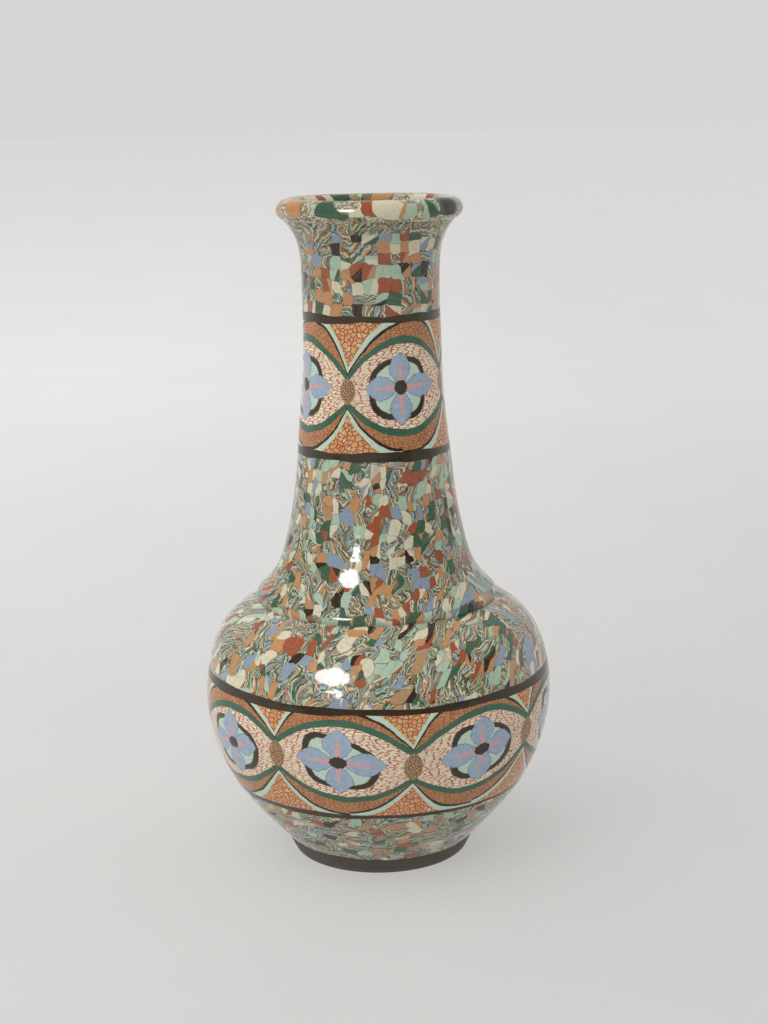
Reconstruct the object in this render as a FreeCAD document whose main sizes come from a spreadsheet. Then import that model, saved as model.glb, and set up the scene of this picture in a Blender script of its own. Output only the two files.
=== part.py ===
"""Clay mosaic vase: a footed globe with a narrow neck and a rolled lip.

The wall is one course of coloured clay pieces that meet edge to edge and go through its whole
thickness. Plain dark bands part the courses, and two courses are friezes of flowered slices.
The axis of the vase is Z, its foot stands on Z = 0, and the seam angles are counted from -Y,
the front, towards +X. All lengths are in millimetres and all angles in degrees.
"""
import FreeCAD, Part
import os
import Sketcher

# Each level of the wall: its height, the outside radius there, and how thick the wall is
# when it is measured level. The joints between courses are flat faces at these heights.
LEVELS = {
    "foot_base": (0.0, 46.0, 8.5),
    "foot_top": (9.0, 50.2, 12.7),
    "basin": (25.0, 64.5, 9.0),
    "low_band_base": (42.5, 77.8, 8.0),
    "low_band_top": (45.0, 79.1, 7.8),
    "belly": (72.0, 88.6, 6.5),
    "high_band_base": (99.0, 89.2, 6.5),
    "high_band_top": (104.0, 88.0, 6.8),
    "shoulder": (124.0, 79.0, 9.0),
    "crease": (136.0, 61.4, 11.4),
    "collar": (138.6, 62.0, 12.0),
    "collar_top": (141.6, 60.0, 12.0),
    "flare": (152.0, 51.4, 6.6),
    "flare_top": (167.0, 46.2, 6.0),
    "stem": (188.0, 41.9, 5.6),
    "stem_band_base": (213.0, 39.0, 5.5),
    "stem_band_top": (217.5, 38.7, 5.5),
    "neck": (249.0, 35.9, 5.5),
    "throat_band_base": (280.7, 34.8, 5.5),
    "throat_band_top": (284.5, 34.7, 5.5),
    "throat": (302.0, 34.8, 5.5),
    "lip_base": (318.0, 36.4, 5.5),
    "lip_flare": (325.0, 39.4, 6.0),
    "roll_under": (329.3, 42.7, 7.6),
    "roll_side": (334.5, 46.3, 11.0),
    "roll_crown": (340.0, 40.8, 5.5),
}

# Other driving dimensions. The reach of an arch is how far its springing stands from the
# middle of its slice, square to the view of that slice; rises are from the frieze's middle.
SIZES = {
    "floor_radius": 44.0,
    "floor_top": 14.5,
    "beyond": 150.0,
    "belly_slices": 8.0,
    "belly_seam": -34.5,
    "belly_reach": 33.9,
    "belly_arch_spring": 8.0,
    "belly_arch_rise": 24.5,
    "belly_sill_spring": 9.5,
    "belly_sill_drop": 20.5,
    "belly_knot_half": 3.8,
    "belly_knot_sweep": 12.0,
    "neck_slices": 4.0,
    "neck_seam": -20.0,
    "neck_reach": 25.4,
    "neck_arch_spring": 6.0,
    "neck_arch_rise": 23.4,
    "neck_sill_spring": 10.5,
    "neck_sill_drop": 24.0,
    "neck_knot_half": 4.0,
    "neck_knot_sweep": 24.0,
}
FRONT = -90.0  # where the front, -Y, lies when angles are counted from +X

for level, (height, radius, wall) in LEVELS.items():
    SIZES[level + "_z"] = height
    SIZES[level + "_radius"] = radius
    SIZES[level + "_wall"] = wall

doc = FreeCAD.newDocument("clay_mosaic_vase")
dims = doc.addObject("Spreadsheet::Sheet", "dims")
for row, (alias, number) in enumerate(SIZES.items(), start=1):
    dims.set(f"A{row}", alias)
    dims.set(f"B{row}", str(number))
    dims.setAlias(f"B{row}", alias)
doc.recompute()
pieces = []


def amount(terms):
    """The value and the expression of a sum of named sizes; a leading minus subtracts one."""
    value = 0.0
    expression = ""
    for term in terms.split():
        name = term.lstrip("-")
        sign = "-" if term.startswith("-") else "+"
        value += SIZES[name] if sign == "+" else -SIZES[name]
        expression += f" {sign} dims.{name}"
    return value, expression.removeprefix(" +").strip()


def outer(level):
    """A point on the outside of the wall, as the sums for its two coordinates."""
    return f"{level}_radius", f"{level}_z"


def inner(level):
    """The point on the inside of the wall at the same height."""
    return f"{level}_radius -{level}_wall", f"{level}_z"


def drive(sketch, number, end, point):
    """Ties one end of an edge, or a point, to the sums for its two coordinates."""
    for kind, terms in zip(("DistanceX", "DistanceY"), point):
        value, expression = amount(terms)
        if terms:
            made = sketch.addConstraint(Sketcher.Constraint(kind, -1, 1, number, end, value))
            sketch.setExpression(f"Constraints[{made}]", expression)
        else:
            axis = -2 if kind == "DistanceX" else -1
            sketch.addConstraint(Sketcher.Constraint("PointOnObject", number, end, axis))


def spot(point):
    """Where a point lies in its sketch."""
    return FreeCAD.Vector(amount(point[0])[0], amount(point[1])[0], 0)


def trace(sketch, edges):
    """Draws one closed outline. An edge has two points for a line and three for an arc."""
    made = []
    for edge in edges:
        places = [spot(point) for point in edge]
        if len(edge) == 2:
            made.append(sketch.addGeometry(Part.LineSegment(*places), False))
            start, finish = 1, 2
        else:
            made.append(sketch.addGeometry(Part.Arc(*places), False))
            begins = sketch.getPoint(made[-1], 1)
            forward = begins.distanceToPoint(places[0]) < begins.distanceToPoint(places[2])
            start, finish = (1, 2) if forward else (2, 1)
            middle = sketch.addGeometry(Part.Point(places[1]), True)
            sketch.addConstraint(Sketcher.Constraint("PointOnObject", middle, 1, made[-1]))
            drive(sketch, middle, 1, edge[1])
        made[-1] = (made[-1], start, finish)
        drive(sketch, made[-1][0], start, edge[0])
    for (number, _, finish), (following, start, _) in zip(made, made[1:] + made[:1]):
        sketch.addConstraint(Sketcher.Constraint("Coincident", number, finish, following, start))


def new_sketch(body, name, role, turn=0.0):
    """A sketch on one of the body's own planes, turned about the vase's axis."""
    sketch = body.newObject("Sketcher::SketchObject", f"{name}_{body.Name}")
    plane = next(item for item in body.Origin.OriginFeatures if item.Role == role)
    sketch.AttachmentSupport = [(plane, "")]
    sketch.MapMode = "FlatFace"
    sketch.AttachmentOffset = FreeCAD.Placement(
        FreeCAD.Vector(), FreeCAD.Rotation(FreeCAD.Vector(0, 1, 0), turn)
    )
    return sketch


def turned(name, edges, sweep="", at=0.0):
    """A piece whose section is turned about the axis, right round or through a sweep."""
    body = doc.addObject("PartDesign::Body", name)
    body.Label = name
    section = new_sketch(body, "section", "XZ_Plane")
    trace(section, edges)
    sweep_feature = body.newObject("PartDesign::Revolution", f"turn_{name}")
    sweep_feature.Profile = section
    sweep_feature.ReferenceAxis = (section, ["V_Axis"])
    sweep_feature.Angle = 360.0
    if sweep:
        sweep_feature.Midplane = True
        sweep_feature.setExpression("Angle", sweep)
    body.Placement = FreeCAD.Placement(
        FreeCAD.Vector(), FreeCAD.Rotation(FreeCAD.Vector(0, 0, 1), at)
    )
    doc.recompute()
    pieces.append(body)
    return body


def course(outside, inside):
    """The section of a course: up its outside, across its top, down its inside and back.

    Each side is a list of edges, each a tuple of levels from the bottom to the top."""
    up = [tuple(outer(level) for level in edge) for edge in outside]
    down = [tuple(inner(level) for level in reversed(edge)) for edge in reversed(inside)]
    across = (up[-1][-1], down[0][0])
    back = (down[-1][-1], up[0][0])
    return up + [across] + down + [back]


def even(bottom, middle, top):
    """A course whose two sides are single arcs."""
    return course([(bottom, middle, top)], [(bottom, middle, top)])


def straight(bottom, top):
    """A course whose two sides are straight."""
    return course([(bottom, top)], [(bottom, top)])


def cut(body, name, edges, turn=0.0):
    """Cuts an outline, seen along the middle of the piece, right through it."""
    before = body.Shape.Volume
    outline = new_sketch(body, name, "YZ_Plane", turn)
    trace(outline, edges)
    pocket = body.newObject("PartDesign::Pocket", f"cut_{name}_{body.Name}")
    pocket.Profile = outline
    pocket.Type = "ThroughAll"
    pocket.Reversed = True
    doc.recompute()
    if not body.Shape.Volume < before:
        raise RuntimeError(f"{name} cut nothing from {body.Label}")


def curve_of(frieze, middle, side):
    """The curve along the top or the bottom of a frieze's medallion, from left to right."""
    if side == "top":
        spring = f"{middle}_z {frieze}_arch_spring"
        crown = f"{middle}_z {frieze}_arch_rise"
    else:
        spring = f"{middle}_z -{frieze}_sill_spring"
        crown = f"{middle}_z -{frieze}_sill_drop"
    left = (f"-{frieze}_reach", spring)
    right = (f"{frieze}_reach", spring)
    return [
        (("-beyond", spring), left),
        (left, ("", crown), right),
        (right, ("beyond", spring)),
    ]


def clear(body, frieze, middle, side, above):
    """Takes away everything above, or below, one of the medallion's two curves."""
    edges = curve_of(frieze, middle, side)
    far = f"{middle}_z beyond" if above else f"{middle}_z -beyond"
    right = ("beyond", far)
    left = ("-beyond", far)
    edges += [(edges[-1][-1], right), (right, left), (left, edges[0][0])]
    cut(body, f"{side}_curve", edges)


def knot_outline(frieze, middle):
    """The upright almond between two medallions: two arcs that meet at its tips."""
    tip = ("", f"{middle}_z {frieze}_arch_spring")
    root = ("", f"{middle}_z -{frieze}_sill_spring")
    right = (f"{frieze}_knot_half", f"{middle}_z")
    left = (f"-{frieze}_knot_half", f"{middle}_z")
    return [(tip, left, root), (root, right, tip)]


def free_knots(body, frieze, middle):
    """Makes room for the knot at each end of a slice."""
    half_turn = 180.0 / SIZES[f"{frieze}_slices"]
    for side, turn in (("left", -half_turn), ("right", half_turn)):
        cut(body, f"{side}_knot", knot_outline(frieze, middle), turn)


def knot(name, frieze, middle, section, at):
    """The almond of speckled clay on a seam between two slices."""
    body = turned(name, section, f"dims.{frieze}_knot_sweep", at)
    far_top = f"{middle}_z beyond"
    far_root = f"{middle}_z -beyond"
    tip, _, root = knot_outline(frieze, middle)[0]
    for side, sign in (("right", ""), ("left", "-")):
        flank = (f"{sign}{frieze}_knot_half", f"{middle}_z")
        high = ("", far_top)
        high_out = (f"{sign}beyond", far_top)
        low_out = (f"{sign}beyond", far_root)
        low = ("", far_root)
        edges = [(tip, flank, root), (root, low), (low, low_out), (low_out, high_out)]
        cut(body, f"{side}_of_knot", edges + [(high_out, high), (high, tip)])


def frieze_course(frieze, bottom, middle, top):
    """The slices of one frieze: medallion, spandrel above, spandrel below, and a knot."""
    section = even(bottom, middle, top)
    count = round(SIZES[f"{frieze}_slices"])
    pitch = 360.0 / count
    sweep = f"360 / dims.{frieze}_slices"
    for number in range(1, count + 1):
        seam = FRONT + SIZES[f"{frieze}_seam"] + pitch * (number - 1)
        centre = seam + pitch / 2
        medallion = turned(f"{frieze}_medallion_{number}", section, sweep, centre)
        clear(medallion, frieze, middle, "top", above=True)
        clear(medallion, frieze, middle, "bottom", above=False)
        free_knots(medallion, frieze, middle)
        upper = turned(f"{frieze}_upper_spandrel_{number}", section, sweep, centre)
        clear(upper, frieze, middle, "top", above=False)
        lower = turned(f"{frieze}_lower_spandrel_{number}", section, sweep, centre)
        clear(lower, frieze, middle, "bottom", above=True)
        knot(f"{frieze}_knot_{number}", frieze, middle, section, seam)


# The foot: a turned ring, with the floor resting on its top and held by the wall around it.
floor_rim = ("floor_radius", "foot_top_z")
floor_edge = ("floor_radius", "floor_top")
turned("foot_ring", straight("foot_base", "foot_top"))
turned(
    "floor_disc",
    [
        (("", "foot_top_z"), floor_rim),
        (floor_rim, floor_edge),
        (floor_edge, ("", "floor_top")),
        (("", "floor_top"), ("", "foot_top_z")),
    ],
)

# The belly.
basin = even("foot_top", "basin", "low_band_base")
basin[2] = (basin[2][0], inner("basin"), floor_edge)
basin[3:] = [(floor_edge, floor_rim), (floor_rim, outer("foot_top"))]
turned("lower_belly_mosaic", basin)
turned("lower_belly_band", straight("low_band_base", "low_band_top"))
frieze_course("belly", "low_band_top", "belly", "high_band_base")
turned("upper_belly_band", straight("high_band_base", "high_band_top"))
turned("shoulder_mosaic", even("high_band_top", "shoulder", "crease"))

# The neck, from the collar that overhangs the shoulder to the rolled lip.
turned(
    "flare_mosaic",
    course(
        [
            ("crease", "collar", "collar_top"),
            ("collar_top", "flare", "flare_top"),
            ("flare_top", "stem", "stem_band_base"),
        ],
        [("crease", "flare", "flare_top"), ("flare_top", "stem", "stem_band_base")],
    ),
)
turned("lower_neck_band", straight("stem_band_base", "stem_band_top"))
frieze_course("neck", "stem_band_top", "neck", "throat_band_base")
turned("upper_neck_band", straight("throat_band_base", "throat_band_top"))
throat_side = [("throat_band_top", "throat", "lip_base"), ("lip_base", "lip_flare", "roll_under")]
turned("throat_mosaic", course(throat_side, throat_side))
turned(
    "lip_roll",
    [
        (outer("roll_under"), outer("roll_crown"), inner("roll_side")),
        (inner("roll_side"), inner("roll_under")),
        (inner("roll_under"), outer("roll_under")),
    ],
)

doc.recompute()
for item in doc.Objects:
    if {"Invalid", "Error"} & set(item.State):
        raise RuntimeError(f"{item.Name} failed: {item.State}")
os.makedirs("parts", exist_ok=True)
for body in pieces:
    shape = body.Shape
    if shape.isNull() or not shape.isValid() or len(shape.Solids) != 1:
        raise RuntimeError(f"{body.Label} is not one sound solid")
    shape.exportStep(os.path.join("parts", f"{body.Label}.step"))
    print(f"{body.Label}: {shape.Volume / 1000:.2f} cubic centimetres")
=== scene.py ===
"""Looks of the clay mosaic vase: every course and slice as a smooth closed shell of its own,
under one clear gloss glaze, on a pale linen-covered floor."""
import math

import bpy
import numpy as np
from mathutils import Matrix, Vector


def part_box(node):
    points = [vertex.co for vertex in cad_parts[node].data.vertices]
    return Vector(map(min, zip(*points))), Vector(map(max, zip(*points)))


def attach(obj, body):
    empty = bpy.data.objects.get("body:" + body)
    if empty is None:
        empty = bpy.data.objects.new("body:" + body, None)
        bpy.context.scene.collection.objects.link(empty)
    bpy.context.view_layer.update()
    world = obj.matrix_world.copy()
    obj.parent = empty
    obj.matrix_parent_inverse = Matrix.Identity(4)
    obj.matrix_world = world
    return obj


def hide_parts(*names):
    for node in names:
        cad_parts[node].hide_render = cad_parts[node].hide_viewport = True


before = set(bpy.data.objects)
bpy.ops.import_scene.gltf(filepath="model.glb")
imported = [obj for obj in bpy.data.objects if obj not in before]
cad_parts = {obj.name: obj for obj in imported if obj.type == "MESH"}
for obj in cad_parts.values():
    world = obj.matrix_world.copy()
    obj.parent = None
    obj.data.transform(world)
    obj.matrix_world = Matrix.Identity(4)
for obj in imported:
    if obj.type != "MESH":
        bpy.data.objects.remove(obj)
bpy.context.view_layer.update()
MM = 0.001
BODY = "root"
HALF_HEIGHT = 170 * MM
SHARP_EDGE = math.radians(38)


# ---------------------------------------------------------------- camera and room

def add_camera():
    """A long lens a little above the lip, looking down at the middle of the vase."""
    distance, height = 902.8 * MM, 382.2 * MM
    pitch, yaw, roll = math.radians(12.66), math.radians(-0.29), math.radians(-1.03)
    lens = bpy.data.cameras.new("camera")
    lens.sensor_width = 36.0
    lens.lens = 63.05
    lens.clip_start = 0.01
    camera = bpy.data.objects.new("camera", lens)
    turn = Matrix.Rotation(yaw, 4, "Z") @ Matrix.Rotation(math.pi / 2 - pitch, 4, "X")
    camera.matrix_world = (
        Matrix.Translation((0, -distance, height)) @ turn @ Matrix.Rotation(roll, 4, "Z")
    )
    bpy.context.scene.collection.objects.link(camera)
    bpy.context.scene.camera = camera


def aim(azimuth, elevation, distance):
    """A place on a sphere round the vase, turned to face it. Azimuth 0 is the front."""
    a, e = math.radians(azimuth), math.radians(elevation)
    away = (math.sin(a) * math.cos(e), -math.cos(a) * math.cos(e), math.sin(e))
    place = Matrix.Translation((0, 0, HALF_HEIGHT)) @ Matrix.Translation(
        tuple(distance * part for part in away)
    )
    return place @ Matrix.Rotation(a, 4, "Z") @ Matrix.Rotation(math.pi / 2 - e, 4, "X")


def add_key(azimuth, elevation, strength):
    """Broad even light from one side, which the glaze doesn't mirror."""
    light = bpy.data.lights.new("key", "SUN")
    light.angle = math.radians(50)
    light.energy = strength
    lamp = bpy.data.objects.new("key", light)
    lamp.matrix_world = aim(azimuth, elevation, 2.0)
    lamp.visible_glossy = False
    bpy.context.scene.collection.objects.link(lamp)


def add_softbox(name, azimuth, elevation, distance, size, watts, shape="ELLIPSE"):
    """A lamp facing the vase that shows only as a gleam in the glaze."""
    light = bpy.data.lights.new(name, "AREA")
    light.shape = shape
    light.size, light.size_y = size
    light.energy = watts
    lamp = bpy.data.objects.new(name, light)
    lamp.matrix_world = aim(azimuth, elevation, distance)
    lamp.visible_diffuse = False
    lamp.visible_camera = False
    bpy.context.scene.collection.objects.link(lamp)


# ---------------------------------------------------------------- shader maths

class Wire:
    """One output socket, with arithmetic that adds Math nodes."""

    def __init__(self, tree, socket):
        self.tree = tree
        self.socket = socket

    def math(self, operation, *others):
        node = self.tree.nodes.new("ShaderNodeMath")
        node.operation = operation
        for slot, value in zip(node.inputs, (self, *others)):
            plug(self.tree, slot, value)
        return Wire(self.tree, node.outputs[0])

    def flipped(self, operation, other):
        node = self.tree.nodes.new("ShaderNodeMath")
        node.operation = operation
        plug(self.tree, node.inputs[0], other)
        plug(self.tree, node.inputs[1], self)
        return Wire(self.tree, node.outputs[0])

    def __add__(self, other):
        return self.math("ADD", other)

    def __sub__(self, other):
        return self.math("SUBTRACT", other)

    def __mul__(self, other):
        return self.math("MULTIPLY", other)

    def __truediv__(self, other):
        return self.math("DIVIDE", other)

    def __pow__(self, other):
        return self.math("POWER", other)

    def __radd__(self, other):
        return self.math("ADD", other)

    def __rmul__(self, other):
        return self.math("MULTIPLY", other)

    def __rsub__(self, other):
        return self.flipped("SUBTRACT", other)

    def __rtruediv__(self, other):
        return self.flipped("DIVIDE", other)

    def __gt__(self, other):
        return self.math("GREATER_THAN", other)

    def __abs__(self):
        return self.math("ABSOLUTE")

    def least(self, other):
        return self.math("MINIMUM", other)

    def most(self, other):
        return self.math("MAXIMUM", other)

    def clamped(self):
        return self.math("MAXIMUM", 0.0).math("MINIMUM", 1.0)

    def inside(self, soft):
        """1 where this distance is positive, 0 where it is negative, softened at the edge."""
        return (self / soft + 0.5).clamped()


def plug(tree, slot, value):
    """Links a wire to a socket, or sets the socket's own value."""
    if isinstance(value, Wire):
        tree.links.new(value.socket, slot)
    elif isinstance(value, tuple) and len(value) == 3 and len(slot.default_value) == 4:
        slot.default_value = (*value, 1.0)
    else:
        slot.default_value = value


class Brush:
    """Short words for what goes into a node tree."""

    def __init__(self, tree, shader):
        self.tree = tree
        self.shader = tree.nodes[shader]

    def node(self, kind, settings, sockets, output=0):
        """Any node: its settings first, then its sockets by name or number."""
        made = self.tree.nodes.new("ShaderNode" + kind)
        for name, value in settings.items():
            if name == "stops":
                fill_ramp(made.color_ramp, value)
            else:
                setattr(made, name, value)
        for name, value in sockets.items():
            plug(self.tree, made.inputs[name], value)
        return Wire(self.tree, made.outputs[output])

    def also(self, wire, output):
        """Another output of the node that a wire comes from."""
        return Wire(self.tree, wire.socket.node.outputs[output])

    def place(self):
        """Object coordinates in millimetres."""
        spot = self.node("TexCoord", {}, {}, "Object")
        return self.node("VectorMath", {"operation": "SCALE"}, {0: spot, "Scale": 1 / MM})

    def sheet(self, name):
        """The two coordinates of a UV map laid in millimetres."""
        spot = self.node("UVMap", {"uv_map": name}, {})
        return self.split(spot)[:2]

    def own(self, name):
        """A number stored on the piece."""
        return self.node("Attribute", {"attribute_name": name}, {}, "Fac")

    def split(self, vector):
        parts = self.node("SeparateXYZ", {}, {0: vector}, 0)
        return parts, self.also(parts, 1), self.also(parts, 2)

    def join(self, x, y, z=0.0):
        return self.node("CombineXYZ", {}, {0: x, 1: y, 2: z})

    def noise(self, vector, size, detail=2.0, output=0, twist=0.0):
        """Soft noise about 0.5, with features of about the given size."""
        sockets = {"Vector": vector, "Scale": 1 / size, "Detail": detail, "Distortion": twist}
        return self.node("TexNoise", {}, sockets, output)

    def cells(self, vector, feature, randomness=1.0):
        """A plane of cells one unit across: how far their middles are, measured so that they
        come out square, or how far their edges are."""
        settings = {"voronoi_dimensions": "2D", "feature": feature}
        if feature != "DISTANCE_TO_EDGE":
            settings["distance"] = "CHEBYCHEV"
        sockets = {"Vector": vector, "Scale": 1.0, "Randomness": randomness}
        return self.node("TexVoronoi", settings, sockets)

    def ramp(self, wire, stops):
        """Colour by number: each colour holds up to the next stop."""
        return self.node("ValToRGB", {"stops": stops}, {0: wire})

    def mix(self, share, first, second):
        """Goes from the first colour to the second as the share goes from 0 to 1."""
        return self.node("Mix", {"data_type": "RGBA"}, {0: share, 6: first, 7: second}, 2)

    def tint(self, colour, amount):
        """A colour made lighter or darker by a number about 1."""
        return self.node("VectorMath", {"operation": "SCALE"}, {0: colour, "Scale": amount})

    def set(self, name, value):
        plug(self.tree, self.shader.inputs[name], value)


class Finish(Brush):
    """A material under the brush."""

    def __init__(self, name):
        self.material = bpy.data.materials.new(name)
        self.material.use_nodes = True
        super().__init__(self.material.node_tree, "Principled BSDF")

    def relief(self, height, depth):
        """Raises the surface by a height of 0 to 1 times the depth, in millimetres."""
        self.set("Normal", self.node("Bump", {}, {"Height": height, "Distance": depth * MM}))


def fill_ramp(ramp, stops):
    """Sets a ramp's stops from (position, colour) pairs, with hard steps between them."""
    ramp.interpolation = "CONSTANT"
    for position, _ in stops[2:]:
        ramp.elements.new(position)
    for element, (position, colour) in zip(ramp.elements, stops):
        element.position = position
        element.color = (*colour, 1.0)


def clay(red, green, blue):
    """A clay's colour, given on a 0 to 255 scale, as linear light."""
    return tuple(
        (part / 255 / 12.92) if part < 11 else ((part / 255 + 0.055) / 1.055) ** 2.4
        for part in (red, green, blue)
    )


CREAM = clay(217, 209, 182)
MINT = clay(174, 196, 172)
GREEN = clay(72, 100, 78)
ORANGE = clay(196, 144, 100)
RED = clay(162, 90, 62)
BLUE = clay(142, 157, 174)
BROWN = clay(60, 49, 37)
PINK = clay(214, 166, 164)
TAN = clay(180, 143, 106)
OLIVE = clay(122, 117, 90)
GREY = clay(138, 142, 130)
UMBER = clay(112, 84, 60)
INK = clay(62, 52, 42)

# What a mosaic's plain pieces are made of, and the share of each clay but the last.
PLAIN_CLAYS = [CREAM, ORANGE, MINT, GREEN, RED, BLUE, BROWN, TAN]
PALE_SHARES = (0.19, 0.15, 0.20, 0.13, 0.11, 0.11, 0.06)
WARM_SHARES = (0.12, 0.26, 0.11, 0.15, 0.12, 0.09, 0.11)

GLAZE_IOR = 1.43

# A melted height, in millimetres, that none of the vase reaches.
NOWHERE = 999.0


def add_room(pale, fill, dim):
    """A pale room for the eye, with more soft light from above and the left. The glaze mirrors
    a pale cloth behind the vase, which reaches further round on its right, and a dim room
    elsewhere."""
    world = bpy.data.worlds.new("room")
    world.use_nodes = True
    brush = Brush(world.node_tree, "Background")
    x, y, z = brush.split(brush.node("TexCoord", {}, {}, "Generated"))
    cloth = (y + x * 0.34 - 0.46).inside(0.5)
    seen = brush.node("LightPath", {}, {}, "Is Camera Ray")
    mirrored = brush.node("LightPath", {}, {}, "Is Glossy Ray")
    soft = (1 - x * 0.52) * (0.78 + z * 0.75) * fill
    light = mirrored * (dim + cloth * (pale - dim)) + (1 - mirrored) * soft
    brush.set("Strength", seen * pale + (1 - seen) * light)
    brush.set("Color", (1.0, 0.995, 0.985))
    bpy.context.scene.world = world
    bpy.context.scene.view_settings.view_transform = "Standard"


# ---------------------------------------------------------------- finishes

def glazed(finish, colour, place, painted_light_level=1.0):
    """Clear gloss glaze over coloured clay: a mottled colour, a wet shine, slight orange peel.
    The last number lightens or darkens the colour all over: painted light and shade for how
    much light the surface gets.
    """
    mottle = finish.noise(place, 2.0, 4.0)
    # Painted light and shade: the level scales the whole colour for how much light falls here.
    finish.set("Base Color", finish.tint(colour, (0.82 + mottle * 0.36) * painted_light_level))
    finish.set("Roughness", 0.07 + finish.noise(place, 9.0, 2.0) * 0.05)
    finish.set("IOR", GLAZE_IOR)
    finish.relief(finish.noise(place, 6.5, 1.0), 0.16)
    return finish.material


def mosaic_finish(
    name, cell, wander, plain_share, shares, wildness, swirl, lean, grain, painted_light_level, melted=NOWHERE
):
    """Small pieces of clay laid edge to edge. Each cell of a jittered square grid is plain,
    split in two, or marbled with stripes that run near the grain and are stirred a little.
    Above the melted height every piece is marbled. Lengths are in millimetres: the cell's
    width and height, and how far it wanders. The grain is its heading and its spread. The
    level before the melted height lightens or darkens the whole course: painted light and
    shade for the light that falls on it."""
    width, height = cell
    grain_heading, grain_spread = grain
    finish = Finish(name)
    place = finish.place()
    across, up = finish.sheet("laid")
    drift = finish.split(finish.noise(place, 20.0, 1.0, "Color"))
    fray = finish.split(finish.noise(place, 2.4, 1.0, "Color"))
    across = across - up * lean + (drift[0] - 0.5) * wander + (fray[0] - 0.5) * 0.5
    up = up + (drift[1] - 0.5) * wander + (fray[1] - 0.5) * 0.5
    grid = finish.join(across / width, up / height)
    first = finish.cells(grid, "F1", wildness)
    second = finish.cells(grid, "F2", wildness)
    dice = finish.split(finish.also(first, "Color"))
    centre = finish.split(finish.also(first, "Position"))
    heading = grain_heading + (dice[0] - 0.5) * grain_spread
    along = (across - centre[0] * width) * heading.math("COSINE") + (
        up - centre[1] * height
    ) * heading.math("SINE")

    stops = list(zip(np.cumsum([0.0, *shares]).tolist(), PLAIN_CLAYS))
    plain = finish.ramp(dice[1], stops)
    partner = finish.ramp((dice[1] * 7.31).math("FRACT"), stops)
    halves = finish.mix((along + (dice[2] - 0.5) * 2.0).inside(0.3), plain, partner)

    stir = finish.noise(finish.join(across, up, dice[1] * 60.0), 6.0, 2.0, twist=0.6)
    run = along * (0.045 + dice[0] * 0.05) + stir * swirl + dice[1] * 9.0
    marble = finish.ramp(
        run.math("FRACT"),
        [
            (0.0, CREAM), (0.05, OLIVE), (0.13, GREEN), (0.19, MINT), (0.26, UMBER),
            (0.29, GREY), (0.37, CREAM), (0.41, ORANGE), (0.48, BROWN), (0.50, OLIVE),
            (0.58, BLUE), (0.64, MINT), (0.69, GREEN), (0.74, GREY), (0.80, RED),
            (0.83, MINT), (0.89, BROWN), (0.91, TAN), (0.96, OLIVE),
        ],
    )
    vein = (stir * 1.5 + along * 0.30).math("FRACT")
    melting = (finish.split(place)[2] - melted).inside(1.5)
    is_marble = (dice[2] - plain_share).inside(0.01).most(melting)
    is_halved = (plain_share * 0.4 - dice[2]).inside(0.01)
    colour = finish.mix(is_marble, finish.mix(is_halved, plain, halves), marble)
    veined = 0.12 + is_marble * 0.68
    colour = finish.mix((vein - 0.88).inside(0.08) * veined, colour, BROWN)
    colour = finish.mix((0.08 - vein).inside(0.08) * veined, colour, CREAM)
    seam = (0.035 - (finish.also(second, "Distance") - finish.also(first, "Distance"))).inside(0.05)
    open_here = (finish.noise(place, 9.0, 1.0) - 0.53).inside(0.1)
    colour = finish.mix(seam * (0.10 + open_here * 0.75), colour, BROWN)
    return glazed(finish, colour, place, painted_light_level)


def band_finish():
    """Very dark clay strips, a little streaked along their length."""
    finish = Finish("dark_band_clay")
    place = finish.place()
    streak = finish.noise(place, 6.0, 3.0)
    colour = finish.mix(streak, clay(50, 42, 32), clay(72, 60, 45))
    return glazed(finish, colour, place)


def foot_finish():
    """The bare dark foot: dull, rubbed paler along its lower edge, with fine grain."""
    finish = Finish("bare_foot_clay")
    place = finish.place()
    low = (2.2 - finish.split(place)[2]).inside(2.0)
    grain = finish.noise(place, 1.1, 3.0)
    base = finish.mix(finish.noise(place, 8.0, 2.0), clay(60, 51, 42), clay(84, 74, 63))
    finish.set("Base Color", finish.mix(low * 0.35 * grain, base, clay(128, 116, 102)))
    finish.set("Roughness", 0.42 + grain * 0.2)
    finish.relief(grain, 0.12)
    return finish.material


def crackle(finish, across, up, width, height, line):
    """Fine cracks round cells of the given width and height: 1 on a crack, 0 between."""
    grid = finish.join(across / width, up / height)
    edge = finish.cells(grid, "DISTANCE_TO_EDGE")
    return (line - edge).inside(line * 0.7)


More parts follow.
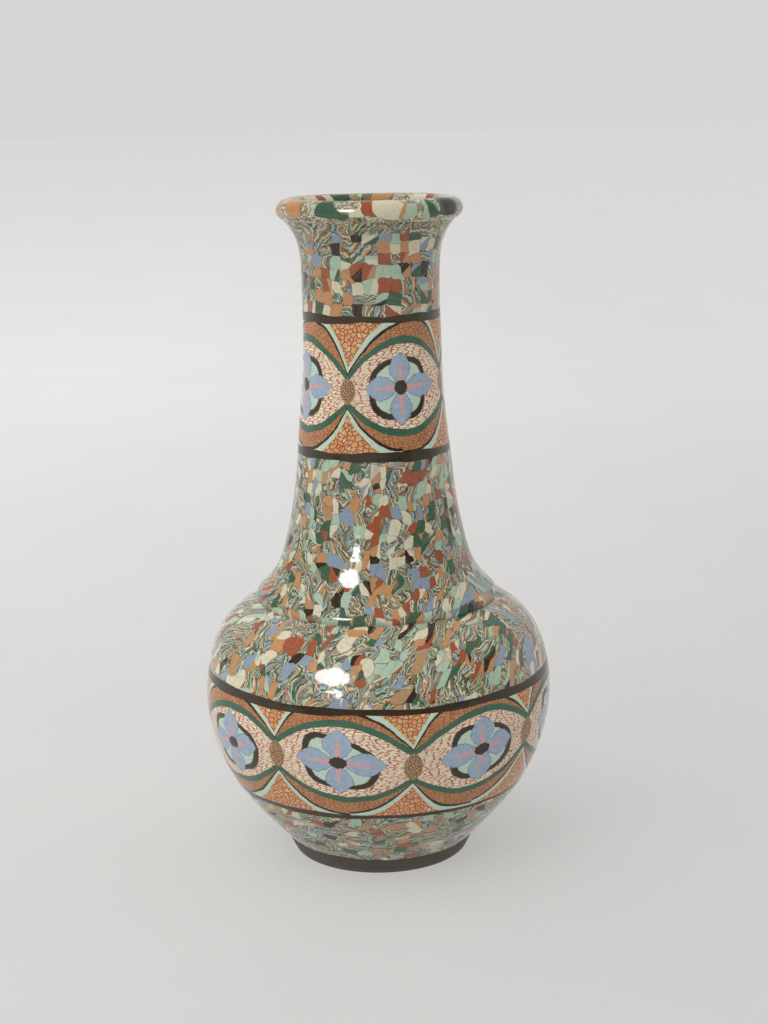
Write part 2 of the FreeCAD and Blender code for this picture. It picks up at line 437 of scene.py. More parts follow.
def frieze_finish(name, plan):
    """One frieze's slices. All distances are in millimetres from the slice's middle, and the
    curves are even arches whose ends meet on the seams between slices."""
    finish = Finish(name)
    place = finish.place()
    across, up = finish.sheet("slice")
    shift = finish.own("flower_shift")
    drift = finish.split(finish.noise(place, 11.0, 1.0, "Color"))
    fray = finish.split(finish.noise(place, 1.6, 2.0, "Color"))
    x = across + (drift[0] - 0.5) * 1.8 + (fray[0] - 0.5) * 0.7
    y = up + (drift[1] - 0.5) * 1.8 + (fray[1] - 0.5) * 0.7
    half = plan["half"]
    from_left = abs(half + across)
    from_right = abs(half - across)
    from_seam = from_left.least(from_right)
    bow = 1 - (1 - from_seam / half) * (1 - from_seam / half)
    arch = plan["arch_spring"] + bow * (plan["arch_rise"] - plan["arch_spring"])
    sill = -1 * (plan["sill_spring"] + bow * (plan["sill_drop"] - plan["sill_spring"]))
    over = y > 0.0

    # Cream ground: long scales that follow the arches and crowd towards the seams.
    stir = finish.noise(place, 4.0, 2.0)
    spread = y / (over * arch - (1 - over) * sill)
    scales = crackle(finish, x + stir * 3.0, spread * 19.0 + stir * 1.8, 4.0, 1.0, 0.125)
    fading = 0.55 + finish.noise(place, 6.0, 1.0) * 0.7
    ground = finish.mix((scales * fading).clamped(), clay(246, 231, 204), clay(168, 92, 62))

    # The flower: two pairs of pointed petals, seen by folding the plane about its middle.
    ruffle = finish.split(finish.noise(place, 1.5, 2.0, "Color"))
    u = across - shift + (drift[2] - 0.5) * 1.2
    w = up - plan["flower_up"] + (drift[0] - 0.5) * 1.2
    right = u > 0.0
    high = w > 0.0
    long_side = right * (plan["petal_right"] - shift * 1.1) + (1 - right) * (
        plan["petal_left"] + shift * 0.45
    )
    tall_side = high * plan["petal_up"] + (1 - high) * plan["petal_down"]

    def petal(length, along, aside, breadth):
        """How far a point lies inside a petal's edge, or less than nothing outside it."""
        reach = (along / length).clamped()
        curve = ((reach ** 1.2) * math.pi).math("SINE").most(0.0) ** 0.95
        beyond = (along - length).most(0.0) * 2
        return curve * breadth - aside - beyond

    ragged = (ruffle[0] - 0.5) * 3.2
    flat_petal = petal(long_side, abs(u), abs(w), plan["petal_width"])
    tall_petal = petal(tall_side, abs(w), abs(u), plan["petal_height"])
    # Behind it a rounded square: four dark crescents, with pale green lobes inside them.
    ring_across = right * plan["ring_right"] + (1 - right) * plan["ring_left"]
    ring_up = high * plan["ring_up"] + (1 - high) * plan["ring_down"]
    lean = w + u * (high * plan["ring_lean"])
    box = ((abs(u) / ring_across) ** 2.8 + (abs(lean) / ring_up) ** 2.8) ** (1 / 2.8)
    box = box + (ruffle[1] - 0.5) * 0.06
    crescent = (1 - box).inside(0.03)
    lobe = (plan["ring_inner"] - box).inside(0.03)
    colour = finish.mix(crescent, ground, INK)
    colour = finish.mix(lobe, colour, clay(194, 216, 196))
    petals = flat_petal.most(tall_petal) + ragged * 0.8
    blue = finish.mix(finish.noise(place, 3.0, 2.0), clay(142, 161, 184), clay(174, 191, 210))
    colour = finish.mix((petals + 0.3).inside(0.3), colour, clay(96, 104, 120))
    colour = finish.mix(petals.inside(0.3), colour, blue)

    def vein(length, along, aside):
        reach = (along / (length * 0.80)).clamped()
        return (1 - reach) ** 0.45 * 1.9 - aside

    veins = vein(long_side, abs(u), abs(w)).most(vein(tall_side, abs(w), abs(u)))
    colour = finish.mix((veins - 0.3).inside(0.6), colour, PINK)
    heart = 1 - ((u / plan["heart_across"]) * (u / plan["heart_across"])
                 + (w / plan["heart_up"]) * (w / plan["heart_up"])) + (ruffle[2] - 0.5)
    colour = finish.mix(heart.inside(0.15), colour, clay(62, 52, 44))

    # Green arches, then the orange strip outside them.
    outside = (y - arch).most(sill - y)
    jade = finish.mix(finish.noise(place, 5.0, 2.0), clay(54, 92, 73), clay(76, 113, 90))
    colour = finish.mix((outside + plan["green"]).inside(0.25), colour, jade)
    hatch = crackle(finish, x + stir * 2.0, outside + stir * 2.5, 2.6, 0.95, 0.17)
    strip = finish.mix(finish.noise(place, 5.0, 2.0), clay(184, 126, 82), clay(214, 158, 110))
    strip = finish.mix(hatch * fading * 0.8, strip, clay(128, 72, 44))
    colour = finish.mix(outside.inside(0.25), colour, strip)

    # The dark line, the pale green line and the corner triangle beyond it.
    def corner(side, spring, level):
        """How far a point lies beyond a line that climbs from the seam and levels out, and
        how much thicker the line is when it is measured upright."""
        rightward = x > plan[side + "_split"]
        slope = rightward * plan[side + "_right"] + (1 - rightward) * plan[side + "_left"]
        rise = rightward * plan[side + "_right_rise"] + (1 - rightward) * plan[side + "_left_rise"]
        distance = rightward * from_right + (1 - rightward) * from_left
        levelling = (distance * slope / rise).math("TANH")
        steep = slope * (1 - levelling * levelling)
        thicker = (1 + steep * steep).math("SQRT")
        return level - (spring + 0.6 + levelling * rise), thicker

    top_beyond, top_thicker = corner("top", plan["arch_spring"], y)
    low_beyond, low_thicker = corner("low", plan["sill_spring"], -1 * y)
    beyond = over * top_beyond + (1 - over) * low_beyond
    thicker = over * top_thicker + (1 - over) * low_thicker
    fullness = 0.7 + finish.noise(place, 8.0, 1.0) * 0.6
    pale = (1.35 + (from_seam * 0.10).least(1.5)) * thicker * fullness
    dark = (0.55 + (from_seam * 0.06).least(0.9)) * thicker * fullness
    net = crackle(finish, x + stir * 1.5, y + stir * 1.5, 2.5, 2.3, 0.11)
    chips = (finish.noise(place, 2.6, 1.0) - 0.63).inside(0.05)
    corner_clay = finish.mix(stir, clay(208, 142, 92), clay(234, 178, 122))
    corner_clay = finish.mix(chips * 0.8, corner_clay, clay(228, 208, 178))
    corner_clay = finish.mix(net * 0.9, corner_clay, clay(142, 72, 44))
    colour = finish.mix((beyond + dark).inside(0.25), colour, clay(50, 41, 32))
    colour = finish.mix(beyond.inside(0.25), colour, clay(196, 216, 194))
    colour = finish.mix((beyond - pale).inside(0.25), colour, corner_clay)

    # The speckled knot on each seam.
    knot_middle = (plan["arch_spring"] - plan["sill_spring"]) / 2
    knot_tall = (plan["arch_spring"] + plan["sill_spring"]) / 2
    knot_x = (half - abs(x)) / plan["knot_half"]
    knot_y = (y - knot_middle) / (knot_tall - 1.5)
    knot = 1 - (abs(knot_x) ** plan["knot_power"] + abs(knot_y) ** plan["knot_power"])
    specks = crackle(finish, x, y, 1.3, 1.1, 0.17)
    speckled = finish.mix(specks * 0.9, clay(198, 160, 120), clay(88, 61, 42))
    colour = finish.mix(knot.inside(0.12), colour, speckled)
    return glazed(finish, colour, place)


LIP_GAUGE = 42.0


def lip_finish():
    """Large plain pieces rolled round the lip, run together at their edges and marbled where
    the lip meets the throat."""
    finish = Finish("lip_clay")
    place = finish.place()
    across, up = finish.sheet("laid")
    drift = finish.split(finish.noise(place, 8.0, 1.5, "Color"))
    turn = across / (2 * math.pi * LIP_GAUGE) + (drift[0] - 0.5) * 0.045
    turn = turn + (up / 60.0 - 0.1) * 0.03 + (up - 17.0).inside(1.0) * 0.37
    blobs = [
        (0.0, GREY), (0.03, CREAM), (0.07, GREEN), (0.12, ORANGE), (0.16, MINT), (0.20, RED),
        (0.235, CREAM), (0.275, ORANGE), (0.30, MINT), (0.322, ORANGE), (0.372, OLIVE),
        (0.398, GREEN), (0.462, CREAM), (0.482, RED), (0.506, CREAM), (0.556, ORANGE),
        (0.565, MINT), (0.608, GREEN), (0.64, BROWN), (0.68, GREY), (0.72, MINT),
        (0.755, ORANGE), (0.80, CREAM), (0.85, GREEN), (0.89, RED), (0.92, BLUE), (0.96, MINT),
    ]
    plain = finish.ramp(turn.math("FRACT"), blobs)
    stir = finish.noise(place, 6.0, 2.0, twist=0.8)
    streaks = (stir * 4.0 + turn * 20.0).math("FRACT")
    veins = [(0.0, CREAM), (0.22, MINT), (0.34, OLIVE), (0.48, ORANGE), (0.58, GREEN),
             (0.68, CREAM), (0.80, UMBER), (0.88, GREY)]
    marble = finish.ramp(streaks, veins)
    patch = (finish.noise(place, 13.0, 1.0) - 0.56 + (4.0 - up).inside(3.0) * 0.3).inside(0.03)
    return glazed(finish, finish.mix(patch, plain, marble), place)


def linen_finish():
    """Pale linen: a faint weave and a few slubs. Painted light makes it brighter to the back and
    left, and this painted light settles to the room's own colour before the horizon. The cloth
    also glows with light of its own, painted light that keeps the vase's shadow faint."""
    finish = Finish("pale_linen")
    place = finish.place()
    x, y, _ = finish.split(place)
    weave = (x * 2.4).math("SINE") * (y * 2.4).math("SINE")
    slub = finish.noise(finish.join(x * 0.08, y), 2.0, 2.0)
    cloud = finish.noise(place, 160.0, 3.0)
    # Painted light: brighter towards the back and the left, fading out before the horizon.
    fade = (1.16 - 3360 / (y.most(0.0) + 900)).clamped()
    rise = (y / 1500).clamped() * 0.17 - 0.055 - (x * 0.00018).most(-0.07).least(0.07)
    shade = 0.96 + cloud * 0.06 + slub * 0.03 + weave * 0.012 + rise * (1 - fade)
    linen = finish.join(0.845, 0.838, 0.824)
    finish.set("Base Color", finish.tint(linen, shade * 0.32))
    # Painted light: the cloth glows with light of its own, which fills in the vase's shadow.
    finish.set("Emission Color", finish.tint(linen, shade))
    finish.set("Emission Strength", 0.5)
    finish.set("Roughness", 0.9 + slub * 0.05)
    finish.relief(weave * 0.3 + slub, 0.35)
    return finish.material


# ---------------------------------------------------------------- the wall's outline

def node_low(node):
    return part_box(node)[0].z


def node_high(node):
    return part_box(node)[1].z


def node_wide(node):
    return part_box(node)[1].x


FOOT_TOP = node_high("foot_ring")
FOOT_BASE_RADIUS = 46.0 * MM
RECESS_RADIUS = 37.5 * MM
LOW_BAND = (node_low("lower_belly_band"), node_high("lower_belly_band"))
HIGH_BAND = (node_low("upper_belly_band"), node_high("upper_belly_band") - 1.2 * MM)
CREASE = node_high("shoulder_mosaic")
STEM_BAND = (node_low("lower_neck_band"), node_high("lower_neck_band"))
THROAT_BAND = (node_low("upper_neck_band"), node_high("upper_neck_band"))
LIP_BASE = node_low("lip_roll")
CROWN = node_high("lip_roll")
BELLY_MIDDLE = (LOW_BAND[1] + HIGH_BAND[0]) / 2
NECK_MIDDLE = (STEM_BAND[1] + THROAT_BAND[0]) / 2
ROLL = 5.5 * MM
ROLL_CENTRE = (node_wide("lip_roll") - ROLL, CROWN - ROLL)
THROAT_MELTS = LIP_BASE / MM - 5.5
FLOOR_TOP = node_high("floor_disc")
FLOOR_RADIUS = node_wide("floor_disc")


def flowing(points, count=600):
    """A natural cubic spline through points in the (radius, height) plane, by chord length:
    at each knot the slopes and the bends of the two cubics that meet there agree."""
    knots = np.array(points, float)
    chord = np.hypot(*np.diff(knots, axis=0).T)
    t = np.concatenate([[0.0], np.cumsum(chord)])
    n = len(t)
    system = np.eye(n)
    right = np.zeros((n, 2))
    for i in range(1, n - 1):
        system[i, i - 1:i + 2] = chord[i - 1], 2 * (chord[i - 1] + chord[i]), chord[i]
        before, after = knots[i] - knots[i - 1], knots[i + 1] - knots[i]
        right[i] = 6 * (after / chord[i] - before / chord[i - 1])
    bend = np.linalg.solve(system, right)
    s = np.linspace(0.0, t[-1], count)
    i = np.clip(np.searchsorted(t, s, side="right") - 1, 0, n - 2)
    a = ((t[i + 1] - s) / chord[i])[:, None]
    b = 1 - a
    width = chord[i][:, None] ** 2 / 6
    bowed = ((a ** 3 - a) * bend[i] + (b ** 3 - b) * bend[i + 1]) * width
    return a * knots[i] + b * knots[i + 1] + bowed


BODY_OUT = flowing([
    (node_wide("foot_ring"), FOOT_TOP), (64.5 * MM, 25 * MM),
    (78.5 * MM, (LOW_BAND[0] + LOW_BAND[1]) / 2), (88.5 * MM, BELLY_MIDDLE),
    (90.1 * MM, 87 * MM), (88.6 * MM, (HIGH_BAND[0] + HIGH_BAND[1]) / 2),
    (79.0 * MM, 124 * MM), (67.4 * MM, 133.2 * MM), (61.4 * MM, CREASE),
])
NECK_OUT = flowing([
    (61.4 * MM, CREASE), (62.0 * MM, CREASE + 1.8 * MM), (61.6 * MM, CREASE + 3.6 * MM),
    (59.6 * MM, CREASE + 6.0 * MM), (51.5 * MM, 152 * MM), (46.2 * MM, 167 * MM),
    (41.9 * MM, 188 * MM), (38.9 * MM, (STEM_BAND[0] + STEM_BAND[1]) / 2),
    (35.9 * MM, NECK_MIDDLE), (34.8 * MM, (THROAT_BAND[0] + THROAT_BAND[1]) / 2),
    (34.8 * MM, 302 * MM), (36.4 * MM, 318 * MM), (39.4 * MM, 325 * MM),
    (42.7 * MM, LIP_BASE),
])
INSIDE = flowing([
    (FLOOR_RADIUS, FLOOR_TOP), (55.5 * MM, 25 * MM), (70.6 * MM, LOW_BAND[1]),
    (82.0 * MM, BELLY_MIDDLE), (83.0 * MM, 90 * MM), (81.3 * MM, HIGH_BAND[1]),
    (70.0 * MM, 124 * MM), (54.0 * MM, 134 * MM), (47.5 * MM, 143 * MM),
    (40.4 * MM, 167 * MM), (36.3 * MM, 188 * MM), (33.4 * MM, STEM_BAND[1]),
    (30.4 * MM, NECK_MIDDLE), (29.3 * MM, THROAT_BAND[0]), (29.3 * MM, 302 * MM),
    (30.9 * MM, 318 * MM), (33.4 * MM, 325 * MM), (ROLL_CENTRE[0] - ROLL, ROLL_CENTRE[1]),
])


def radius_out(height):
    """The outside radius at a height, on the foot, the body or the neck."""
    spread = node_wide("foot_ring") - FOOT_BASE_RADIUS
    foot = FOOT_BASE_RADIUS + spread * np.clip(height / FOOT_TOP, 0, 1)
    body = np.interp(height, BODY_OUT[:, 1], BODY_OUT[:, 0])
    neck = np.interp(height, NECK_OUT[:, 1], NECK_OUT[:, 0])
    return np.where(height <= FOOT_TOP, foot, np.where(height <= CREASE, body, neck))


def radius_in(height):
    """The inside radius at a height."""
    return np.interp(height, INSIDE[:, 1], INSIDE[:, 0])


def run_length(height):
    """How far up the outside a height lies, along the surface, from the foot."""
    path = np.vstack([BODY_OUT, NECK_OUT[1:]])
    steps = np.hypot(*np.diff(path, axis=0).T)
    along = np.concatenate([[0.0], np.cumsum(steps)])
    return np.interp(height, np.maximum.accumulate(path[:, 1]), along)


def hand_wobble(angle, height):
    """The turned wall's slight unevenness: three slow waves round and up it."""
    return 0.16 * MM * (
        np.sin(2 * angle + 31 * height) + np.sin(5 * angle - 74 * height + 1.3)
        + 0.7 * np.sin(9 * angle + 118 * height + 0.4)
    )


def edge_wander(angle, level):
    """How a joint between two courses strays up and down as it goes round."""
    wavy = {LOW_BAND[0]: 0.30, LOW_BAND[1]: 0.35, HIGH_BAND[0]: 0.45, HIGH_BAND[1]: 0.45,
            STEM_BAND[0]: 0.45, STEM_BAND[1]: 0.40, THROAT_BAND[0]: 0.40, THROAT_BAND[1]: 0.45}
    size = wavy.get(level, 0.0) * MM
    phase = level * 900
    return size * (np.sin(3 * angle + phase) + 0.6 * np.sin(8 * angle + 2 * phase)
                   + 0.4 * np.sin(17 * angle + 3 * phase))


def on_wall(radius, angle, height):
    """Points from cylindrical coordinates; angle 0 is the front, -Y, and grows towards +X."""
    return np.stack([radius * np.sin(angle), -radius * np.cos(angle), height + 0 * angle], -1)


# ---------------------------------------------------------------- meshes

def grid_faces(rows, columns, start, wrap, flip):
    """Corner indices of a grid's quads, and the same corners as (row, column) pairs."""
    steps = columns if wrap else columns - 1
    i, j = np.divmod(np.arange((rows - 1) * steps), steps)
    row = np.stack([i, i, i + 1, i + 1], 1)
    column = np.stack([j, j + 1, j + 1, j], 1)
    if flip:
        row, column = row[:, ::-1], column[:, ::-1]
    return start + row * columns + column % columns, row, column


def rim_faces(outer, inner, wrap):
    """Quads between two matching lines of vertices, facing the way that closes the shell."""
    if wrap:
        outer, inner = np.append(outer, outer[0]), np.append(inner, inner[0])
    return np.stack([outer[:-1], outer[1:], inner[1:], inner[:-1]], 1)


def make_piece(node, vertices, faces, finish, map_name=None, laid=None):
    """Puts a piece's arrays into a mesh, in place of its CAD node."""
    mesh = bpy.data.meshes.new(node)
    mesh.from_pydata(vertices.reshape(-1, 3).tolist(), [], faces)
    if map_name:
        layer = mesh.uv_layers.new(name=map_name)
        layer.data.foreach_set("uv", laid.astype(np.float32).ravel())
    mesh.materials.append(finish)
    mesh.shade_smooth()
    mesh.set_sharp_from_angle(angle=SHARP_EDGE)
    piece = bpy.data.objects.new(node, mesh)
    bpy.context.scene.collection.objects.link(piece)
    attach(piece, BODY)
    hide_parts(node)
    return piece


def shell(node, outside, inside, wrap, finish, map_name, laid_at):
    """A closed shell between two grids of rows from low to high and columns to the right.
    The map is a function of a face corner's row and column."""
    rows, columns = outside.shape[:2]
    count = rows * columns
    indices = np.arange(count).reshape(rows, columns)
    out_faces, out_row, out_column = grid_faces(rows, columns, 0, wrap, False)
    in_faces, in_row, in_column = grid_faces(rows, columns, count, wrap, True)
    rims = [
        rim_faces(indices[-1], indices[-1] + count, wrap),
        rim_faces(indices[0] + count, indices[0], wrap),
    ]
    if not wrap:
        rims += [
            rim_faces(indices[:, 0], indices[:, 0] + count, False),
            rim_faces(indices[:, -1] + count, indices[:, -1], False),
        ]
    rims = np.vstack(rims)
    faces = np.vstack([out_faces, in_faces, rims])
    on_rims = laid_at(*np.divmod(rims % count, columns))
    laid = np.concatenate([laid_at(out_row, out_column), laid_at(in_row, in_column), on_rims])
    vertices = np.concatenate([outside.reshape(-1, 3), inside.reshape(-1, 3)])
    return make_piece(node, vertices, faces.tolist(), finish, map_name, laid)


GORES = 3
ROUND = 288


def course(node, low, high, finish, rows, seed):
    """A whole course, turned right round between two joints. The mosaic is laid as three
    sheets, each true at its middle, so its pieces shear where the wall draws in or out."""
    angle = np.arange(ROUND) * (2 * math.pi / ROUND) - math.pi
    share = np.linspace(0, 1, rows)[:, None]
    bottom = low + edge_wander(angle, low)
    top = high + edge_wander(angle, high)
    height = bottom * (1 - share) + top * share
    wobble = hand_wobble(angle, height)
    outside = on_wall(radius_out(height) + wobble, angle, height)
    inside = on_wall(radius_in(height), angle, height)
    level = np.linspace(low, high, rows)
    girth, run = radius_out(level) / MM, run_length(level) / MM
    per_gore = ROUND // GORES

    def laid(row, column):
        gore = np.minimum(column.min(1, keepdims=True) // per_gore, GORES - 1)
        middle = (gore + 0.5) * per_gore
        turn = (column - middle) * (2 * math.pi / ROUND)
        return np.stack([turn * girth[row] + gore * 500 + seed * 37, run[row] + seed * 61], -1)

    shell(node, outside, inside, True, finish, "laid", laid)


def lip(node, finish):
    """The rolled lip: its section goes round the roll from the throat's outside to its inside."""
    turn = np.linspace(math.radians(-71), math.radians(180), 28)
    section_r = ROLL_CENTRE[0] + ROLL * np.cos(turn)
    section_z = ROLL_CENTRE[1] + ROLL * np.sin(turn)
    low_r = np.linspace(ROLL_CENTRE[0] - ROLL, radius_in(LIP_BASE), 4)[1:]
    low_z = np.linspace(ROLL_CENTRE[1], LIP_BASE, 4)[1:]
    section_r = np.concatenate([[radius_out(LIP_BASE)], section_r, low_r])
    section_z = np.concatenate([[LIP_BASE], section_z, low_z])
    rows = len(section_r)
    angle = np.arange(ROUND) * (2 * math.pi / ROUND) - math.pi
    wobble = hand_wobble(angle, section_z[:, None]) * 1.5
    grid = on_wall(section_r[:, None] + wobble, angle, section_z[:, None])
    faces, row, column = grid_faces(rows, ROUND, 0, True, False)
    first, last = np.arange(ROUND), np.arange(ROUND) + (rows - 1) * ROUND
    base = rim_faces(last, first, True)
    run = np.concatenate([[0.0], np.cumsum(np.hypot(np.diff(section_r), np.diff(section_z)))]) / MM
    around = LIP_GAUGE * 2 * math.pi / ROUND
    laid = np.stack([column * around, run[row]], -1)
    laid = np.concatenate([laid, np.zeros((len(base), 4, 2))])
    faces = np.vstack([faces, base])
    make_piece(node, grid, faces.tolist(), finish, "laid", laid)


def filled(bottom, top, left, right):
    """Fills four edge curves: the two lofts between facing edges, less the corners' plane.
    Each edge is an array of (angle, height) points, running right or up."""
    across = np.linspace(0, 1, len(bottom))[None, :, None]
    up = np.linspace(0, 1, len(left))[:, None, None]
    lofted = (1 - up) * bottom[None] + up * top[None]
    spanned = (1 - across) * left[:, None] + across * right[:, None]
    corners = (1 - up) * ((1 - across) * bottom[0] + across * bottom[-1]) + up * (
        (1 - across) * top[0] + across * top[-1]
    )
    return lofted + spanned - corners


def eased(start, end, share):
    """From one value to another, level at both ends."""
    return start + (end - start) * share * share * (3 - 2 * share)


def slice_piece(node, patch, centre, half, middle, lifts, shift, finish, slot_name):
    """A piece of a slice from its patch of (angle from the slice's middle, height). The
    slice's own axis climbs from the lift at its left seam to the lift at its right one."""
    turn, height = patch[..., 0], patch[..., 1]
    angle = turn + centre
    outside = on_wall(radius_out(height) + hand_wobble(angle, height), angle, height)
    inside = on_wall(radius_in(height), angle, height)
    girth = radius_out(np.array(middle)) / MM
    base = run_length(np.array(middle))

    def laid(row, column):
        axis = eased(*lifts, np.clip(turn / half / 2 + 0.5, 0, 1))[row, column]
        climb = (run_length(height[row, column]) - base) / MM - axis
        return np.stack([turn[row, column] * girth, climb], -1)

    piece = shell(node, outside, inside, False, finish, "slice", laid)
    number = piece.data.attributes.new("flower_shift", "FLOAT", "POINT")
    number.data.foreach_set("value", np.full(len(piece.data.vertices), shift, np.float32))


def line(start, end, count):
    return np.linspace(np.array(start, float), np.array(end, float), count)


def frieze(prefix, plan, low, high, seam_at, shifts, lifts, finish):
    """All slices of a frieze: medallion, two spandrels, and the knot on its left seam. The
    slices were laid by hand, so each seam sits a little high or low."""
    pitch = 2 * math.pi / len(shifts)
    half = pitch / 2
    middle = (low + high) / 2
    share = np.linspace(-1, 1, plan["columns"])
    rise = np.linspace(0, 1, plan["rows"])
    for number, shift in enumerate(shifts, start=1):
        ends = lifts[number - 1], lifts[number % len(lifts)]
        seam = math.radians(seam_at) + pitch * (number - 1)
        centre = seam + half
        axis = middle + eased(*ends, share / 2 + 0.5) * MM
        bow = 1 - share ** 2
        arch = axis + (plan["arch_spring"] + bow * (plan["arch_rise"] - plan["arch_spring"])) * MM
        sill = axis - (plan["sill_spring"] + bow * (plan["sill_drop"] - plan["sill_spring"])) * MM
        arch_edge = np.stack([share * half, arch], 1)
        sill_edge = np.stack([share * half, sill], 1)
        flank = np.sin(rise * math.pi) * plan["knot_half"] * MM / radius_out(np.array(middle))
        left_flank = np.stack([flank - half, sill[0] + (arch[0] - sill[0]) * rise], 1)
        right_flank = np.stack([half - flank, sill[-1] + (arch[-1] - sill[-1]) * rise], 1)
        top_edge = np.stack([share * half, high + edge_wander(share * half + centre, high)], 1)
        low_edge = np.stack([share * half, low + edge_wander(share * half + centre, low)], 1)
        top_sides = line(arch_edge[0], top_edge[0], 8), line(arch_edge[-1], top_edge[-1], 8)
        low_sides = line(low_edge[0], sill_edge[0], 8), line(low_edge[-1], sill_edge[-1], 8)
        medallion = filled(sill_edge, arch_edge, left_flank, right_flank)
        about = (centre, half, middle, ends, shift, finish)
        slice_piece(f"{prefix}_medallion_{number}", medallion, *about, "flower_slice_clay")
        upper = filled(arch_edge, top_edge, *top_sides)
        slice_piece(f"{prefix}_upper_spandrel_{number}", upper, *about, "orange_slice_clay")
        lower = filled(low_edge, sill_edge, *low_sides)
        slice_piece(f"{prefix}_lower_spandrel_{number}", lower, *about, "orange_slice_clay")
        spread = np.linspace(-1, 1, 9) * np.maximum(flank, 1e-6)[:, None]
        knot = np.stack([spread + half, left_flank[:, 1, None] + 0 * spread], -1)
        about = (seam - half, half, middle, (ends[0], ends[0]), shift, finish)
        slice_piece(f"{prefix}_knot_{number}", knot, *about, "speckled_clay")


def turned(section):
    """A section of (radius, height) points swept right round, and the sweep's faces."""
    section = np.array(section, float)
    angle = np.arange(ROUND) * (2 * math.pi / ROUND)
    grid = on_wall(section[:, 0, None], angle, section[:, 1, None])
    faces, _, _ = grid_faces(len(section), ROUND, 0, True, False)
    last = np.arange(ROUND) + (len(section) - 1) * ROUND
    return grid, faces, last


def foot_ring(finish):
    """The foot: a low ring with softened lower edges, from a closed section."""
    soft = 0.8 * MM
    section = [
        (RECESS_RADIUS, soft), (RECESS_RADIUS + soft, 0.0), (FOOT_BASE_RADIUS - soft * 0.6, 0.0),
        (FOOT_BASE_RADIUS, soft * 0.6), (node_wide("foot_ring"), FOOT_TOP),
        (RECESS_RADIUS, FOOT_TOP),
    ]
    grid, faces, last = turned(section)
    faces = np.vstack([faces, rim_faces(last, np.arange(ROUND), True)])
    make_piece("foot_ring", grid, faces.tolist(), finish)


def floor_disc(finish):
    """The floor: rings out along its underside and back along its top, closed at the middle
    of each face by a fan."""
    spread = np.linspace(0, FLOOR_RADIUS, 9)[1:]
    low, high = np.full(len(spread), FOOT_TOP), np.full(len(spread), FLOOR_TOP)
    out_and_back = np.concatenate([spread, spread[::-1]])
    grid, faces, last = turned(np.stack([out_and_back, np.concatenate([low, high])], 1))
    grid = grid.reshape(-1, 3)
    hubs = np.full(ROUND, len(grid))
    first = np.arange(ROUND)
    fan_low = np.stack([hubs, np.roll(first, -1), first], 1)
    fan_high = np.stack([hubs + 1, last, np.roll(last, -1)], 1)
    vertices = np.vstack([grid, [(0, 0, FOOT_TOP), (0, 0, FLOOR_TOP)]])
    faces = faces.tolist() + fan_low.tolist() + fan_high.tolist()
    make_piece("floor_disc", vertices, faces, finish)


def linen_floor():
    """The cloth-covered floor, far wider than the view."""
    reach = 30.0
    mesh = bpy.data.meshes.new("linen_floor")
    corners = [(-reach, -reach, 0), (reach, -reach, 0), (reach, reach, 0), (-reach, reach, 0)]
    mesh.from_pydata(corners, [], [(0, 1, 2, 3)])
    mesh.materials.append(linen_finish())
    floor = bpy.data.objects.new("linen_floor", mesh)
    bpy.context.scene.collection.objects.link(floor)


# ---------------------------------------------------------------- making it

BELLY = {
    "half": 34.8, "arch_spring": 8.0, "arch_rise": 22.4, "sill_spring": 9.0, "sill_drop": 22.4,
    "knot_half": 4.6, "knot_power": 2.0, "green": 3.4, "flower_up": 0.6,
    "petal_right": 21.6, "petal_left": 22.0, "petal_up": 17.0, "petal_down": 17.4,
    "petal_width": 6.1, "petal_height": 7.0, "ring_right": 20.4, "ring_left": 17.8,
    "ring_up": 13.3, "ring_down": 14.8, "ring_inner": 0.82, "ring_lean": 0.22,
    "heart_across": 4.5, "heart_up": 3.1,
    "top_split": -4.0, "top_left": 1.80, "top_left_rise": 22.0, "top_right": 1.08,
    "top_right_rise": 21.0, "low_split": 2.0, "low_left": 1.40, "low_left_rise": 23.0,
    "low_right": 1.08, "low_right_rise": 23.0,
    "columns": 49, "rows": 31,
}
NECK = {
    "half": 28.2, "arch_spring": 6.4, "arch_rise": 24.4, "sill_spring": 10.2, "sill_drop": 25.0,
    "knot_half": 4.0, "knot_power": 1.5, "green": 3.7, "flower_up": -0.8,
    "petal_right": 18.5, "petal_left": 18.5, "petal_up": 17.2, "petal_down": 18.4,
    "petal_width": 5.8, "petal_height": 5.5, "ring_right": 14.8, "ring_left": 15.9,
    "ring_up": 14.6, "ring_down": 15.9, "ring_inner": 0.82, "ring_lean": -0.06,
    "heart_across": 3.4, "heart_up": 3.5,
    "top_split": 8.0, "top_left": 1.55, "top_left_rise": 26.5, "top_right": 2.5,
    "top_right_rise": 26.5, "low_split": -2.0, "low_left": 1.5, "low_left_rise": 23.5,
    "low_right": 1.8, "low_right_rise": 23.5,
    "columns": 57, "rows": 31,
}

add_camera()
add_room(0.675, 0.655, 0.06)
add_key(-38, 58, 0.50)
add_softbox("gleam_high", -33, 28, 1.3, (0.48, 0.46), 15)
add_softbox("gleam_low", -29, 12, 1.3, (0.20, 0.05), 1.2)
add_softbox("side_window", 112, 6, 1.6, (1.4, 1.2), 0.9, "RECTANGLE")
linen_floor()
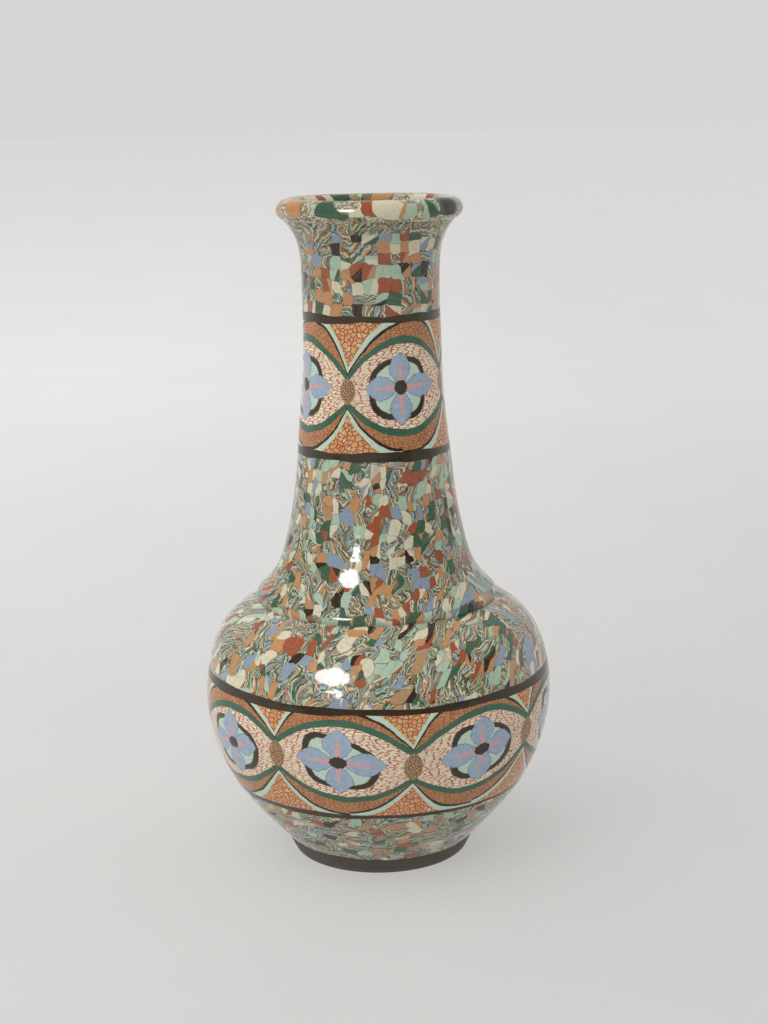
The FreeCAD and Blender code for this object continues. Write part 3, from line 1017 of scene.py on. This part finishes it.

# Painted light and shade in each course's level: the throat and the basin darker, the up-facing
# shoulder lighter.
throat_mosaic = mosaic_finish(
    "throat_mosaic_clay", cell=(5.8, 6.2), wander=7.0, plain_share=0.62, shares=WARM_SHARES,
    wildness=0.45, swirl=0.50, lean=0.0, grain=(0.6, 3.6), painted_light_level=0.96, melted=THROAT_MELTS,
)
flare_mosaic = mosaic_finish(
    "flare_mosaic_clay", cell=(4.4, 6.0), wander=11.0, plain_share=0.50, shares=PALE_SHARES,
    wildness=0.70, swirl=0.60, lean=0.10, grain=(0.0, 2.4), painted_light_level=1.0,
)
shoulder_mosaic = mosaic_finish(
    "shoulder_mosaic_clay", cell=(4.7, 6.8), wander=17.0, plain_share=0.44, shares=PALE_SHARES,
    wildness=0.75, swirl=0.75, lean=0.45, grain=(0.0, 2.4), painted_light_level=1.08,
)
basin_mosaic = mosaic_finish(
    "basin_mosaic_clay", cell=(6.2, 4.8), wander=9.0, plain_share=0.36, shares=PALE_SHARES,
    wildness=0.70, swirl=0.60, lean=0.0, grain=(1.57, 2.2), painted_light_level=0.94,
)
bands = band_finish()
foot = foot_finish()

foot_ring(foot)
floor_disc(foot)
course("lower_belly_mosaic", FOOT_TOP, LOW_BAND[0], basin_mosaic, 30, 1)
course("lower_belly_band", LOW_BAND[0], LOW_BAND[1], bands, 4, 2)
frieze("belly", BELLY, LOW_BAND[1], HIGH_BAND[0], -34.5,
       (-1.7, 1.8, 0.0, 1.2, -1.5, 0.6, -0.8, 2.4), (4.5, 1.5, 6.0, 2.0, 0.5, 3.0, 1.0, -2.0),
       frieze_finish("belly_frieze_clay", BELLY))
course("upper_belly_band", HIGH_BAND[0], HIGH_BAND[1], bands, 5, 3)
course("shoulder_mosaic", HIGH_BAND[1], CREASE, shoulder_mosaic, 40, 4)
course("flare_mosaic", CREASE, STEM_BAND[0], flare_mosaic, 70, 5)
course("lower_neck_band", STEM_BAND[0], STEM_BAND[1], bands, 5, 6)
frieze("neck", NECK, STEM_BAND[1], THROAT_BAND[0], -20.0,
       (-1.7, 1.0, 0.6, -1.2), (0.6, 1.4, -0.4, 0.8), frieze_finish("neck_frieze_clay", NECK))
course("upper_neck_band", THROAT_BAND[0], THROAT_BAND[1], bands, 5, 7)
course("throat_mosaic", THROAT_BAND[1], LIP_BASE, throat_mosaic, 34, 8)
lip("lip_roll", lip_finish())
